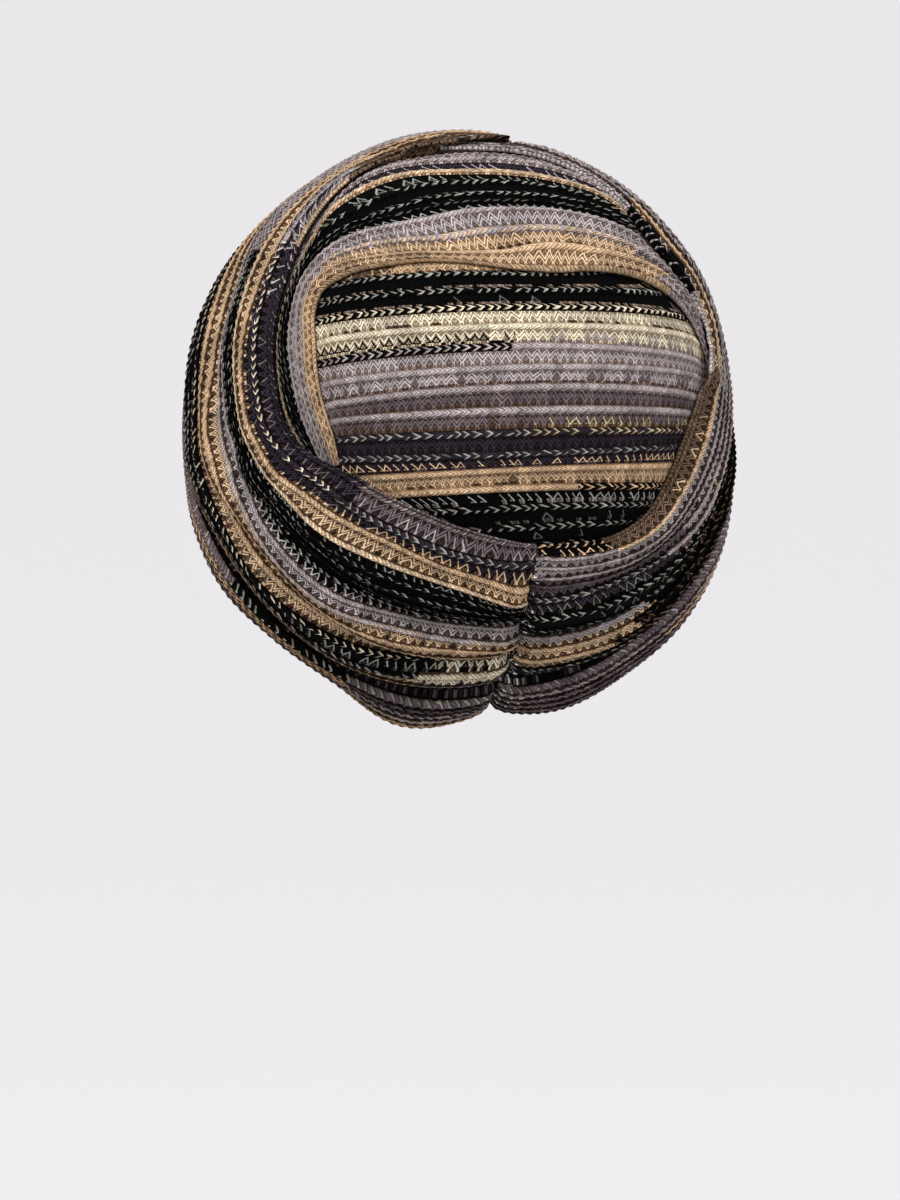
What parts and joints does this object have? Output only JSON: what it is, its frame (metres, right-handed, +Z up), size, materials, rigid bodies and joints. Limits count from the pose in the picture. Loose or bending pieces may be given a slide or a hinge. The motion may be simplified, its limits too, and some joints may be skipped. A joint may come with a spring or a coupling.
{
  "type": "turban headwrap",
  "caption": "Soft knitted turban headwrap with a ribbed crown panel at the back, two wraps gathered into a seam over the nape and a rolled hem band round face and neck",
  "frame": {"origin": "the middle of the head hollow, where a head holds the headwrap up", "axes": "+Z up, the face side towards -Y, the wearer's left towards +X; the head comes out of the hollow towards -Z"},
  "size_m": [0.1975, 0.2175, 0.2116],
  "materials": {
    "crown_panel_knit": "matte",
    "crown_fold_knit": "matte",
    "left_wrap_knit": "matte",
    "right_wrap_knit": "matte",
    "hem_band_knit": "matte"
  },
  "bodies": {
    "root": {"crown_panel": "crown_panel_knit", "crown_fold": "crown_fold_knit", "left_wrap": "left_wrap_knit", "right_wrap": "right_wrap_knit", "hem_band": "hem_band_knit"}
  },
  "joints": []
}
